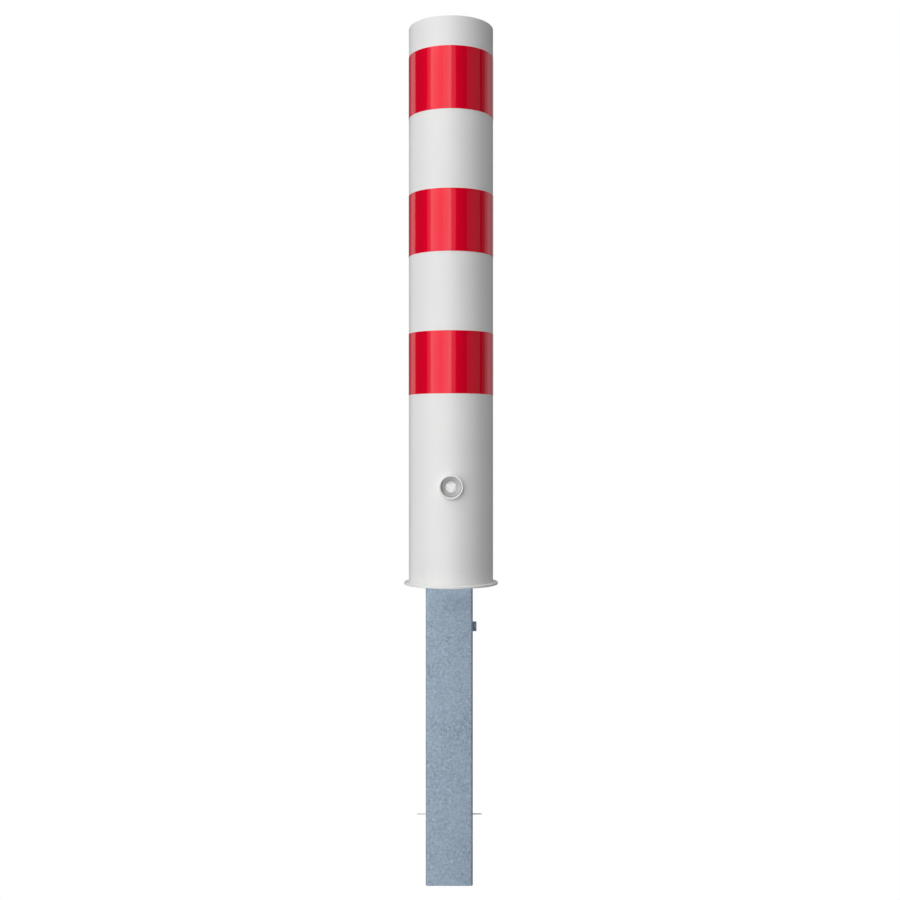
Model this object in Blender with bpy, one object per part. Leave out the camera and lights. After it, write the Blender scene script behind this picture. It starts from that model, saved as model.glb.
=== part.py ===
"""Removable steel safety bollard with a triangular-key lock, standing in its square ground sleeve.

Units are metres and +Z is up. The origin is on the bollard's axis at ground level, the lock faces -Y,
and the locking pin slides out towards +X. The lock is modelled unlocked, with the bollard fully home.

How it works: the triangular spindle turns a crank, whose pin swings the upper end of a flat lever.
The lever rocks on a cross bolt, and its lower end pushes the locking pin out of the inner post,
through the ground sleeve's wall and into the hexagonal keeper that is welded on outside.
"""

import math

import bmesh
import bpy
from mathutils import Vector

# ---- fits -------------------------------------------------------------------------------------------
TOUCH = 0.0003            # gap kept between two pieces that rest on or are welded to each other
HOLE_PLAY = 0.0003        # radial gap of a fixed piece in its hole
RUN_PLAY = 0.0002         # radial gap of a turning or sliding piece in its bearing
CUT_MARGIN = 0.002        # how far a cutter runs past the wall it cuts

# ---- bollard tube and what is welded to it ----------------------------------------------------------
TUBE_RADIUS = 0.076
TUBE_WALL = 0.0032
HEIGHT = 1.000            # above ground
RIM_ROUNDING = 0.0012     # outer edge of the tube's top rim
FLANGE_RADIUS = 0.0845
FLANGE_THICKNESS = 0.004
FLANGE_LOWER_EDGE = 0.0005  # bevels of the flange's rim
FLANGE_UPPER_EDGE = 0.0008
CAP_THICKNESS = 0.004
CAP_CROWN = 0.0015        # height of the cap's shallow dome, which sheds rain
CROWN_STEPS = 5
PLATE_THICKNESS = 0.005
PLATE_HEIGHT = 0.270      # underside of the plate that centres the inner post

BAND_TOPS = {"top": 0.9475, "middle": 0.699, "bottom": 0.4505}
BAND_HEIGHT = 0.110
BAND_FILM = 0.0003
BAND_GAP = 0.0002         # adhesive between the film and the tube

# ---- inner post and ground sleeve -------------------------------------------------------------------
POST_SIDE = 0.070
POST_WALL = 0.003
POST_TOP = 0.300
POST_DEPTH = 0.400        # below ground
SLEEVE_SIDE = 0.0835
SLEEVE_WALL = 0.0032
SLEEVE_LENGTH = 0.531
SLEEVE_SHIFT = -0.003     # the post bears on the keeper's side, so all the play is on the other
POST_CORNER = 0.005       # outer corner radii
SLEEVE_CORNER = 0.004
LEAST_INNER_CORNER = 0.001

ANCHOR_RADIUS = 0.001
ANCHOR_LENGTH = 0.117
ANCHOR_DEPTH = 0.416

# ---- lock -------------------------------------------------------------------------------------------
LOCK_HEIGHT = 0.177
COLLAR_RADIUS = 0.0212    # a 42.4 x 3 mm tube
COLLAR_WALL = 0.003
COLLAR_PROUD = 0.006      # in front of the tube's foremost line
HOLE_END = -0.060         # y at which the collar's hole is clear through the tube's wall
SHANK_RADIUS = 0.010
TRIANGLE_INRADIUS = 0.0064
SHANK_EDGE = 0.0006       # bevel round the shank's front end
TRIANGLE_LENGTH = 0.0035
HEAD_FRONT = -0.0745      # y of the triangle's face
JOURNAL_RADIUS = 0.008
SHANK_BACK = -0.0415      # y of the shoulder behind the shank
DRIVE_SQUARE = 0.010
SQUARE_REACH = 0.00675    # rounded corners of the square, from the axis
THREAD_RADIUS = 0.004
BUSH_BODY_RADIUS = 0.0117
LOCK_BODY_RADIUS = 0.0178 # the bush's flange fills the collar and is the floor of the key recess
LOCK_BODY_FRONT = -0.060
BUSH_CLEARANCE = 0.0005       # the bush ends this far short of the crank
WASHER_SPACE = 0.0017     # between the shank's shoulder and the bush
SPRING_THICKNESS = 0.0007  # the spring washer is a shallow cone that fills that space
SPRING_RISE = 0.0004

# ---- crank, lever and locking pin -------------------------------------------------------------------
CRANK_THROW = 0.014
CRANK_REST_DEG = 45.0     # the crank pin starts this far to one side of straight down
CRANK_FRONT = -0.0252     # y of the arm's front face
CRANK_THICKNESS = 0.005
CRANK_HUB_RADIUS = 0.0105
CRANK_END_RADIUS = 0.0075
CRANK_PIN_RADIUS = 0.004
CRANK_NUT_FLATS = 0.013
CRANK_NUT_HEIGHT = 0.0065
CRANK_SLOT_PLAY = 0.0008  # takes up the difference between the crank's arc and a constant ratio
CRANK_PIN_PROUD = 0.0015  # past the lever's back
THREAD_PROUD = 0.0005     # past the crank nut
SQUARE_CORNER = 0.0003    # corners of the crank's square hole
PIVOT_HEIGHT = 0.020
PIVOT_RADIUS = 0.005      # M10 shank
BOLT_FLATS = 0.016
BOLT_HEAD = 0.0064
BOLT_END = 0.002          # how far the shank shows past its nut
NUT_HEIGHT = 0.0084
WASHER_THICKNESS = 0.0018
WASHER_RADIUS = 0.010
SPACER_RADIUS = 0.008
LEVER_FRONT = -0.012      # y of the lever's front face
LEVER_THICKNESS = 0.005
LEVER_WIDTH = 0.025
LEVER_TOP_MARGIN = 0.005  # metal left beyond the two slots
LEVER_FOOT_MARGIN = 0.006
PIN_DEPTH = 0.077         # locking pin's axis below ground
PIN_RADIUS = 0.004
PIN_TIP = 0.032           # x of the locking pin's tip, drawn back
PIN_TIP_BEVEL = 0.0015
PIN_HEAD_RADIUS = 0.007
PIN_HEAD_LENGTH = 0.016
PIN_HEAD_HALF_WIDTH = 0.006
DRIVE_PIN_RADIUS = 0.003
DRIVE_PIN_HEAD = 0.002
DRIVE_SLOT_PLAY = 0.0005
DRIVE_SLOT_HALF = 0.001   # half the length of its straight part
CLIP_THICKNESS = 0.0008
CLIP_WIDTH = 0.0028
DRIVE_PIN_END = 0.001     # past the clip
GUIDE_BODY_RADIUS = 0.0066
GUIDE_FLANGE_RADIUS = 0.010
GUIDE_FLANGE = 0.0042
KEEPER_HOLE_RADIUS = 0.0065
KEEPER_FLATS = 0.0164
KEEPER_THICKNESS = 0.007
KEEPER_BORE = 0.0058

ROUND_SEGMENTS = 72       # pieces the size of the tube
MEDIUM_SEGMENTS = 40
SMALL_SEGMENTS = 24

# ---- worked out -------------------------------------------------------------------------------------
TUBE_INSIDE = TUBE_RADIUS - TUBE_WALL
POST_HALF = POST_SIDE / 2
POST_INSIDE = POST_HALF - POST_WALL
SLEEVE_HALF = SLEEVE_SIDE / 2
CRANK_BACK = CRANK_FRONT + CRANK_THICKNESS
LEVER_BACK = LEVER_FRONT + LEVER_THICKNESS
CRANK_DROP = CRANK_THROW * math.cos(math.radians(CRANK_REST_DEG))
CRANK_SIDE = CRANK_THROW * math.sin(math.radians(CRANK_REST_DEG))
UPPER_ARM = LOCK_HEIGHT - PIVOT_HEIGHT - CRANK_DROP
LOWER_ARM = PIVOT_HEIGHT + PIN_DEPTH
LEVER_TILT = math.atan2(CRANK_SIDE, UPPER_ARM)
PIN_REST_X = -LOWER_ARM * math.tan(LEVER_TILT)

ALONG = {"X": (0, math.pi / 2, 0), "Y": (-math.pi / 2, 0, 0), "Z": (0, 0, 0)}


# ---- materials --------------------------------------------------------------------------------------
def material(name, colour, roughness, metallic):
    made = bpy.data.materials.new(name)
    made.use_nodes = True
    shader = made.node_tree.nodes["Principled BSDF"]
    shader.inputs["Base Color"].default_value = (*colour, 1)
    shader.inputs["Roughness"].default_value = roughness
    shader.inputs["Metallic"].default_value = metallic
    return made


def make_materials():
    return {
        "white_paint": material("white_paint", (0.80, 0.80, 0.79), 0.45, 0),
        "red_film": material("red_film", (0.75, 0.01, 0.04), 0.25, 0),
        "galvanised": material("galvanised", (0.33, 0.41, 0.49), 0.55, 0.8),
        "zinc_fastener": material("zinc_fastener", (0.55, 0.57, 0.60), 0.35, 1),
        "bare_steel": material("bare_steel", (0.42, 0.43, 0.45), 0.40, 1),
        "bronze": material("bronze", (0.55, 0.38, 0.18), 0.40, 1),
    }


# ---- modelling helpers ------------------------------------------------------------------------------
def add_object(name, bm, coat=None, location=(0, 0, 0), rotation=(0, 0, 0)):
    """Turns a bmesh into a named object, with its faces pointing out."""
    bmesh.ops.recalc_face_normals(bm, faces=bm.faces)
    mesh = bpy.data.meshes.new(name)
    bm.to_mesh(mesh)
    bm.free()
    mesh.shade_smooth()
    mesh.set_sharp_from_angle(angle=math.radians(30))
    made = bpy.data.objects.new(name, mesh)
    made.location = location
    made.rotation_euler = rotation
    bpy.context.scene.collection.objects.link(made)
    if coat:
        made.data.materials.append(coat)
    return made


def turned_mesh(profile, segments):
    """Spins a closed profile of (radius, height) points about Z."""
    bm = bmesh.new()
    verts = [bm.verts.new((radius, 0, height)) for radius, height in profile]
    edges = [bm.edges.new((a, b)) for a, b in zip(verts, verts[1:])]
    if profile[0][0] > 0 or profile[-1][0] > 0:
        edges.append(bm.edges.new((verts[-1], verts[0])))
    bmesh.ops.spin(
        bm,
        geom=verts + edges,
        axis=(0, 0, 1),
        cent=(0, 0, 0),
        steps=segments,
        angle=2 * math.pi,
        use_merge=True,
    )
    bmesh.ops.remove_doubles(bm, verts=bm.verts, dist=1e-6)
    bmesh.ops.dissolve_degenerate(bm, edges=bm.edges, dist=1e-7)
    return bm


def turned(name, profile, coat=None, axis="Z", centre=(0, 0, 0), segments=SMALL_SEGMENTS):
    """A turned piece. Heights in the profile are positions along the world axis that is named."""
    return add_object(name, turned_mesh(profile, segments), coat, centre, ALONG[axis])


def ring_profile(inner, outer, low, high):
    return [(inner, low), (outer, low), (outer, high), (inner, high)]


def disc_profile(radius, low, high):
    return [(0, low), (radius, low), (radius, high), (0, high)]


def arc(centre, radius, start_deg, end_deg, steps):
    """Points of an arc, ends included."""
    return [
        (
            centre[0] + radius * math.cos(math.radians(start_deg + (end_deg - start_deg) * i / steps)),
            centre[1] + radius * math.sin(math.radians(start_deg + (end_deg - start_deg) * i / steps)),
        )
        for i in range(steps + 1)
    ]


def rounded_square(half, corner, steps=4):
    """Outline of a square with rounded corners."""
    outline = []
    for turn, (sx, sy) in enumerate(((1, 1), (-1, 1), (-1, -1), (1, -1))):
        middle = (sx * (half - corner), sy * (half - corner))
        outline += arc(middle, corner, 90 * turn, 90 * turn + 90, steps)
    return outline


def capsule(half_length, radius, steps=8):
    """Outline of a slot that runs along the second axis."""
    return arc((0, half_length), radius, 0, 180, steps) + arc((0, -half_length), radius, 180, 360, steps)


def regular_polygon(flats, sides=6, first_deg=0.0):
    """Outline of a nut or bolt head of this width across flats."""
    radius = flats / 2 / math.cos(math.pi / sides)
    angles = [math.radians(first_deg) + 2 * math.pi * i / sides for i in range(sides)]
    return [(radius * math.cos(a), radius * math.sin(a)) for a in angles]


def prism_mesh(outline, low, high):
    """Extrudes an outline in the XY plane from low to high."""
    bm = bmesh.new()
    face = bm.faces.new([bm.verts.new((x, y, low)) for x, y in outline])
    grown = bmesh.ops.extrude_face_region(bm, geom=[face])
    lifted = [v for v in grown["geom"] if isinstance(v, bmesh.types.BMVert)]
    bmesh.ops.translate(bm, verts=lifted, vec=(0, 0, high - low))
    return bm


def prism(name, outline, low, high, coat=None, axis="Z", centre=(0, 0, 0)):
    return add_object(name, prism_mesh(outline, low, high), coat, centre, ALONG[axis])


def square_tube_mesh(half, wall, corner, low, high):
    """A square tube whose inner corners follow the outer ones."""
    bm = bmesh.new()
    inner_corner = max(corner - wall, LEAST_INNER_CORNER)
    loops = []
    for height in (low, high):
        for outline in (rounded_square(half, corner), rounded_square(half - wall, inner_corner)):
            verts = [bm.verts.new((x, y, height)) for x, y in outline]
            loops.append([bm.edges.new((a, b)) for a, b in zip(verts, verts[1:] + verts[:1])])
    for a, b in ((0, 1), (2, 3), (0, 2), (1, 3)):
        bmesh.ops.bridge_loops(bm, edges=loops[a] + loops[b])
    return bm


def box_cutter(name, low, high):
    bm = bmesh.new()
    bmesh.ops.create_cube(bm, size=1)
    size = Vector(high) - Vector(low)
    bmesh.ops.scale(bm, verts=bm.verts, vec=size)
    bmesh.ops.translate(bm, verts=bm.verts, vec=(Vector(high) + Vector(low)) / 2)
    return add_object(name, bm)


def cut(target, *cutters):
    """Takes the cutters out of the target, and leaves them as hidden guides."""
    for cutter in cutters:
        cutter.display_type = "WIRE"
        cutter.hide_render = True
        boolean = target.modifiers.new(cutter.name, "BOOLEAN")
        boolean.operation = "DIFFERENCE"
        boolean.solver = "EXACT"
        boolean.object = cutter
    return target


def hole(name, radius, low, high, axis, centre, segments=SMALL_SEGMENTS):
    """A round cutter that runs past both faces of the wall it cuts."""
    profile = disc_profile(radius, low - CUT_MARGIN, high + CUT_MARGIN)
    return turned(name, profile, None, axis, centre, segments)


# ---- ground sleeve ----------------------------------------------------------------------------------
def make_ground_sleeve(coats):
    bm = square_tube_mesh(SLEEVE_HALF, SLEEVE_WALL, SLEEVE_CORNER, -SLEEVE_LENGTH, -TOUCH)
    sleeve = add_object("ground_sleeve", bm, coats["galvanised"], (SLEEVE_SHIFT, 0, 0))
    inside = SLEEVE_HALF - SLEEVE_WALL
    keeper = (SLEEVE_SHIFT, 0, -PIN_DEPTH)
    anchor = (SLEEVE_SHIFT, 0, -ANCHOR_DEPTH)
    anchor_hole = ANCHOR_RADIUS + HOLE_PLAY
    cut(
        sleeve,
        hole("cut_keeper_hole", KEEPER_HOLE_RADIUS, inside, SLEEVE_HALF, "X", keeper),
        hole("cut_anchor", anchor_hole, -SLEEVE_HALF, SLEEVE_HALF, "X", anchor, 12),
    )
    turned(
        "anchor_pin",
        disc_profile(ANCHOR_RADIUS, -ANCHOR_LENGTH / 2, ANCHOR_LENGTH / 2),
        coats["galvanised"],
        "X",
        anchor,
        12,
    )


def make_keeper(coats):
    """The hexagonal keeper, one of its corners facing the front."""
    low = SLEEVE_HALF + TOUCH
    high = low + KEEPER_THICKNESS
    centre = (SLEEVE_SHIFT, 0, -PIN_DEPTH)
    outline = regular_polygon(KEEPER_FLATS, first_deg=90)
    keeper = prism("pin_keeper", outline, low, high, coats["galvanised"], "X", centre)
    cut(keeper, hole("cut_keeper_bore", KEEPER_BORE, low, high, "X", centre))


# ---- bollard shell ----------------------------------------------------------------------------------
def make_bollard_tube(coats):
    low = FLANGE_THICKNESS + TOUCH
    rim = (TUBE_RADIUS - RIM_ROUNDING, HEIGHT - RIM_ROUNDING)
    profile = [
        (TUBE_INSIDE, low),
        (TUBE_RADIUS, low),
        *arc(rim, RIM_ROUNDING, 0, 90, 3),
        (TUBE_INSIDE, HEIGHT),
    ]
    tube = turned("bollard_tube", profile, coats["white_paint"], segments=ROUND_SEGMENTS)
    radius = COLLAR_RADIUS + HOLE_PLAY
    lock = (0, 0, LOCK_HEIGHT)
    cut(tube, hole("cut_collar_hole", radius, -TUBE_RADIUS, HOLE_END, "Y", lock, MEDIUM_SEGMENTS))


def make_cap(coats):
    """A shallow dome set into the tube's mouth."""
    radius = TUBE_INSIDE - TOUCH
    edge = HEIGHT - CAP_CROWN - TOUCH
    crown = [
        (radius * (1 - i / CROWN_STEPS), edge + CAP_CROWN * (1 - (1 - i / CROWN_STEPS) ** 2))
        for i in range(CROWN_STEPS + 1)
    ]
    profile = [(0, edge - CAP_THICKNESS), (radius, edge - CAP_THICKNESS), *crown]
    turned("top_cap", profile, coats["white_paint"], segments=ROUND_SEGMENTS)


def post_window(name, low, high):
    """Cutter of the square hole that the inner post passes through."""
    outline = rounded_square(POST_HALF + HOLE_PLAY, POST_CORNER)
    return prism(name, outline, low - CUT_MARGIN, high + CUT_MARGIN)


def make_flange(coats):
    profile = [
        (0, 0),
        (FLANGE_RADIUS - FLANGE_LOWER_EDGE, 0),
        (FLANGE_RADIUS, FLANGE_LOWER_EDGE),
        (FLANGE_RADIUS, FLANGE_THICKNESS - FLANGE_UPPER_EDGE),
        (FLANGE_RADIUS - FLANGE_UPPER_EDGE, FLANGE_THICKNESS),
        (0, FLANGE_THICKNESS),
    ]
    flange = turned("base_flange", profile, coats["white_paint"], segments=ROUND_SEGMENTS)
    cut(flange, post_window("cut_flange_window", 0, FLANGE_THICKNESS))


def make_centring_plate(coats):
    low, high = PLATE_HEIGHT, PLATE_HEIGHT + PLATE_THICKNESS
    profile = disc_profile(TUBE_INSIDE - TOUCH, low, high)
    plate = turned("centring_plate", profile, coats["galvanised"], segments=ROUND_SEGMENTS)
    cut(plate, post_window("cut_plate_window", low, high))


def make_bands(coats):
    """Three bands of reflective film round the tube."""
    inner = TUBE_RADIUS + BAND_GAP
    for place, top in BAND_TOPS.items():
        profile = ring_profile(inner, inner + BAND_FILM, top - BAND_HEIGHT, top)
        name = f"reflective_band_{place}"
        turned(name, profile, coats["red_film"], segments=ROUND_SEGMENTS)


def make_lock_collar(coats):
    front = -(TUBE_RADIUS + COLLAR_PROUD)
    back = -(POST_HALF + TOUCH)
    profile = ring_profile(COLLAR_RADIUS - COLLAR_WALL, COLLAR_RADIUS, front, back)
    turned("lock_collar", profile, coats["white_paint"], "Y", (0, 0, LOCK_HEIGHT), MEDIUM_SEGMENTS)


# ---- inner post -------------------------------------------------------------------------------------
def make_inner_post(coats):
    bm = square_tube_mesh(POST_HALF, POST_WALL, POST_CORNER, -POST_DEPTH, POST_TOP)
    post = add_object("inner_post", bm, coats["galvanised"])
    lock = (0, 0, LOCK_HEIGHT)
    pivot = (0, 0, PIVOT_HEIGHT)
    pin = (0, 0, -PIN_DEPTH)
    bush_seat = BUSH_BODY_RADIUS + HOLE_PLAY
    guide_seat = GUIDE_BODY_RADIUS + HOLE_PLAY
    cut(
        post,
        hole("cut_bush_seat", bush_seat, -POST_HALF, -POST_INSIDE, "Y", lock, MEDIUM_SEGMENTS),
        hole("cut_pivot", PIVOT_RADIUS + HOLE_PLAY, -POST_HALF, POST_HALF, "Y", pivot),
        hole("cut_guide_seat", guide_seat, POST_INSIDE, POST_HALF, "X", pin),
    )


def make_spindle_bush(coats):
    """Flanged bearing of the spindle, in the post's front wall. Its bore is stepped like the spindle."""
    bore = JOURNAL_RADIUS + RUN_PLAY
    counterbore = SHANK_RADIUS + RUN_PLAY
    seat = -(POST_HALF + TOUCH)
    step = SHANK_BACK + WASHER_SPACE
    back = CRANK_FRONT - BUSH_CLEARANCE
    profile = [
        (counterbore, LOCK_BODY_FRONT),
        (LOCK_BODY_RADIUS, LOCK_BODY_FRONT),
        (LOCK_BODY_RADIUS, seat),
        (BUSH_BODY_RADIUS, seat),
        (BUSH_BODY_RADIUS, back),
        (bore, back),
        (bore, step),
        (counterbore, step),
    ]
    centre = (0, 0, LOCK_HEIGHT)
    turned("spindle_bush", profile, coats["white_paint"], "Y", centre, MEDIUM_SEGMENTS)


def make_pin_guide(coats):
    """Flanged bush that guides the locking pin, in the post's right wall."""
    bore = PIN_RADIUS + RUN_PLAY
    seat = POST_INSIDE - TOUCH
    profile = [
        (bore, seat - GUIDE_FLANGE),
        (GUIDE_FLANGE_RADIUS, seat - GUIDE_FLANGE),
        (GUIDE_FLANGE_RADIUS, seat),
        (GUIDE_BODY_RADIUS, seat),
        (GUIDE_BODY_RADIUS, POST_HALF),
        (bore, POST_HALF),
    ]
    turned("pin_guide_bush", profile, coats["bronze"], "X", (0, 0, -PIN_DEPTH))


# ---- lever pivot ------------------------------------------------------------------------------------
def make_pivot(coats):
    """The M10 cross bolt that carries the lever, with its washers, nut and two spacer tubes."""
    centre = (0, 0, PIVOT_HEIGHT)
    steel = coats["zinc_fastener"]
    bore = PIVOT_RADIUS + HOLE_PLAY
    for name, side in (("pivot_washer_front", -1), ("pivot_washer_rear", 1)):
        ends = sorted(side * (POST_HALF + TOUCH + depth) for depth in (0, WASHER_THICKNESS))
        turned(name, ring_profile(bore, WASHER_RADIUS, *ends), steel, "Y", centre)
    seat = POST_HALF + WASHER_THICKNESS + 2 * TOUCH
    bolt = prism("pivot_bolt", regular_polygon(BOLT_FLATS), -seat - BOLT_HEAD, -seat, steel, "Y", centre)
    shank_end = seat + NUT_HEIGHT + BOLT_END
    shank_profile = disc_profile(PIVOT_RADIUS, -seat - BOLT_HEAD / 2, shank_end)
    join(bolt, turned("join_pivot_shank", shank_profile, None, "Y", centre))
    nut = prism("pivot_nut", regular_polygon(BOLT_FLATS), seat, seat + NUT_HEIGHT, steel, "Y", centre)
    cut(nut, hole("cut_pivot_nut", bore, seat, seat + NUT_HEIGHT, "Y", centre))
    spans = {
        "pivot_spacer_front": (-POST_INSIDE + TOUCH, LEVER_FRONT - TOUCH),
        "pivot_spacer_rear": (LEVER_BACK + TOUCH, POST_INSIDE - TOUCH),
    }
    for name, (low, high) in spans.items():
        turned(name, ring_profile(bore, SPACER_RADIUS, low, high), coats["bare_steel"], "Y", centre)


def join(target, extra):
    """Makes one body of the target and a piece that overlaps it."""
    extra.display_type = "WIRE"
    extra.hide_render = True
    boolean = target.modifiers.new(extra.name, "BOOLEAN")
    boolean.operation = "UNION"
    boolean.solver = "EXACT"
    boolean.object = extra
    return target


# ---- lock spindle and crank -------------------------------------------------------------------------
def side_cutters(name, sides, inradius, first_deg, low, high, centre):
    """Cutters that mill flats at this distance from an axis along Y, one flat facing first_deg from +X."""
    reach = 2 * SHANK_RADIUS
    made = []
    for i in range(sides):
        far = inradius + reach
        outline = [(inradius, -reach), (far, -reach), (far, reach), (inradius, reach)]
        cutter = prism(f"{name}_{i}", outline, low, high, None, "Y", centre)
        turn = math.radians(first_deg) + 2 * math.pi * i / sides
        cutter.rotation_euler = (-math.pi / 2, -turn, 0)
        made.append(cutter)
    return made


def make_spindle(coats):
    """Spindle with a three-sided head, flat side up, and a square inner end for the crank."""
    centre = (0, 0, LOCK_HEIGHT)
    thread_end = CRANK_BACK + TOUCH + CRANK_NUT_HEIGHT + THREAD_PROUD
    square_end = CRANK_BACK - TOUCH
    profile = [
        (0, HEAD_FRONT),
        (SHANK_RADIUS - SHANK_EDGE, HEAD_FRONT),
        (SHANK_RADIUS, HEAD_FRONT + SHANK_EDGE),
        (SHANK_RADIUS, SHANK_BACK),
        (JOURNAL_RADIUS, SHANK_BACK),
        (JOURNAL_RADIUS, CRANK_FRONT - TOUCH),
        (SQUARE_REACH, CRANK_FRONT - TOUCH),
        (SQUARE_REACH, square_end),
        (THREAD_RADIUS, square_end),
        (THREAD_RADIUS, thread_end),
        (0, thread_end),
    ]
    spindle = turned("lock_spindle", profile, coats["white_paint"], "Y", centre, MEDIUM_SEGMENTS)
    head = (HEAD_FRONT - CUT_MARGIN, HEAD_FRONT + TRIANGLE_LENGTH)
    square = (CRANK_FRONT - TOUCH, square_end)
    cut(spindle, *side_cutters("cut_triangle", 3, TRIANGLE_INRADIUS, 90, *head, centre))
    cut(spindle, *side_cutters("cut_square", 4, DRIVE_SQUARE / 2, 0, *square, centre))

    near = SHANK_BACK + TOUCH
    washer_bore = JOURNAL_RADIUS + RUN_PLAY
    washer = [
        (washer_bore, near + SPRING_THICKNESS),
        (washer_bore, near),
        (SHANK_RADIUS, near + SPRING_RISE),
        (SHANK_RADIUS, near + SPRING_RISE + SPRING_THICKNESS),
    ]
    turned("spindle_spring_washer", washer, coats["bare_steel"], "Y", centre, MEDIUM_SEGMENTS)


def crank_outline():
    """A tapering arm from the hub down to the crank pin, in the plane square to the spindle."""
    lean = math.degrees(math.asin((CRANK_HUB_RADIUS - CRANK_END_RADIUS) / CRANK_THROW))
    hub = arc((0, 0), CRANK_HUB_RADIUS, lean, 180 - lean, 14)
    end = arc((0, -CRANK_THROW), CRANK_END_RADIUS, 180 - lean, 360 + lean, 12)
    return hub + end


def make_crank(coats):
    """Crank arm, its pin and its nut. The arm's local frame leans by the crank's rest angle."""
    centre = (0, 0, LOCK_HEIGHT)
    lean = math.radians(CRANK_REST_DEG)
    outline = [(x, -z) for x, z in crank_outline()]
    arm = prism("crank_arm", outline, CRANK_FRONT, CRANK_BACK, coats["zinc_fastener"], "Y", centre)
    arm.rotation_euler = (-math.pi / 2, -lean, 0)
    pin_centre = (CRANK_SIDE, 0, LOCK_HEIGHT - CRANK_DROP)
    half = DRIVE_SQUARE / 2 + HOLE_PLAY / 2
    low, high = CRANK_FRONT - CUT_MARGIN, CRANK_BACK + CUT_MARGIN
    square = prism("cut_crank_square", rounded_square(half, SQUARE_CORNER, 1), low, high, None, "Y", centre)
    pin_hole = hole("cut_crank_pin", CRANK_PIN_RADIUS + HOLE_PLAY, CRANK_FRONT, CRANK_BACK, "Y", pin_centre)
    cut(arm, square, pin_hole)

    pin_end = LEVER_BACK + CRANK_PIN_PROUD
    profile = disc_profile(CRANK_PIN_RADIUS, CRANK_FRONT, pin_end)
    turned("crank_pin", profile, coats["bare_steel"], "Y", pin_centre)

    seat = CRANK_BACK + TOUCH
    nut_end = seat + CRANK_NUT_HEIGHT
    outline = regular_polygon(CRANK_NUT_FLATS)
    nut = prism("crank_nut", outline, seat, nut_end, coats["zinc_fastener"], "Y", centre)
    cut(nut, hole("cut_crank_nut", THREAD_RADIUS + HOLE_PLAY, seat, nut_end, "Y", centre))


# ---- lever and locking pin --------------------------------------------------------------------------
def make_lever(coats):
    """Flat bar that rocks on the pivot bolt, outlined upright about its pivot and then tilted to rest."""
    half = LEVER_WIDTH / 2
    crank_reach = math.hypot(UPPER_ARM, CRANK_SIDE)
    crank_near = LOCK_HEIGHT - PIVOT_HEIGHT - CRANK_THROW
    slot_middle = (crank_reach + crank_near) / 2
    slot_half = (crank_reach - crank_near) / 2 + CRANK_SLOT_PLAY
    drive_reach = LOWER_ARM / math.cos(LEVER_TILT)
    top = slot_middle + slot_half + CRANK_PIN_RADIUS + CRANK_SLOT_PLAY + LEVER_TOP_MARGIN
    bottom = drive_reach + DRIVE_PIN_RADIUS + LEVER_FOOT_MARGIN
    upper = arc((0, top - half), half, 0, 180, 12)
    lower = arc((0, half - bottom), half, 180, 360, 12)
    outline = [(x, -z) for x, z in upper + lower]
    pivot = (0, 0, PIVOT_HEIGHT)
    tilt = (-math.pi / 2, LEVER_TILT, 0)
    faces = (LEVER_FRONT, LEVER_BACK)
    lever = prism("latch_lever", outline, *faces, coats["zinc_fastener"], "Y", pivot)
    lever.rotation_euler = tilt
    ends = (LEVER_FRONT - CUT_MARGIN, LEVER_BACK + CUT_MARGIN)
    slots = {
        "cut_crank_slot": (slot_middle, capsule(slot_half, CRANK_PIN_RADIUS + CRANK_SLOT_PLAY)),
        "cut_drive_slot": (-drive_reach, capsule(DRIVE_SLOT_HALF, DRIVE_PIN_RADIUS + DRIVE_SLOT_PLAY)),
    }
    cutters = [hole("cut_lever_pivot", PIVOT_RADIUS + RUN_PLAY, *faces, "Y", pivot)]
    for name, (along, shape) in slots.items():
        moved = [(x, -(z + along)) for x, z in shape]
        slot = prism(name, moved, *ends, None, "Y", pivot)
        slot.rotation_euler = tilt
        cutters.append(slot)
    cut(lever, *cutters)


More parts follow.
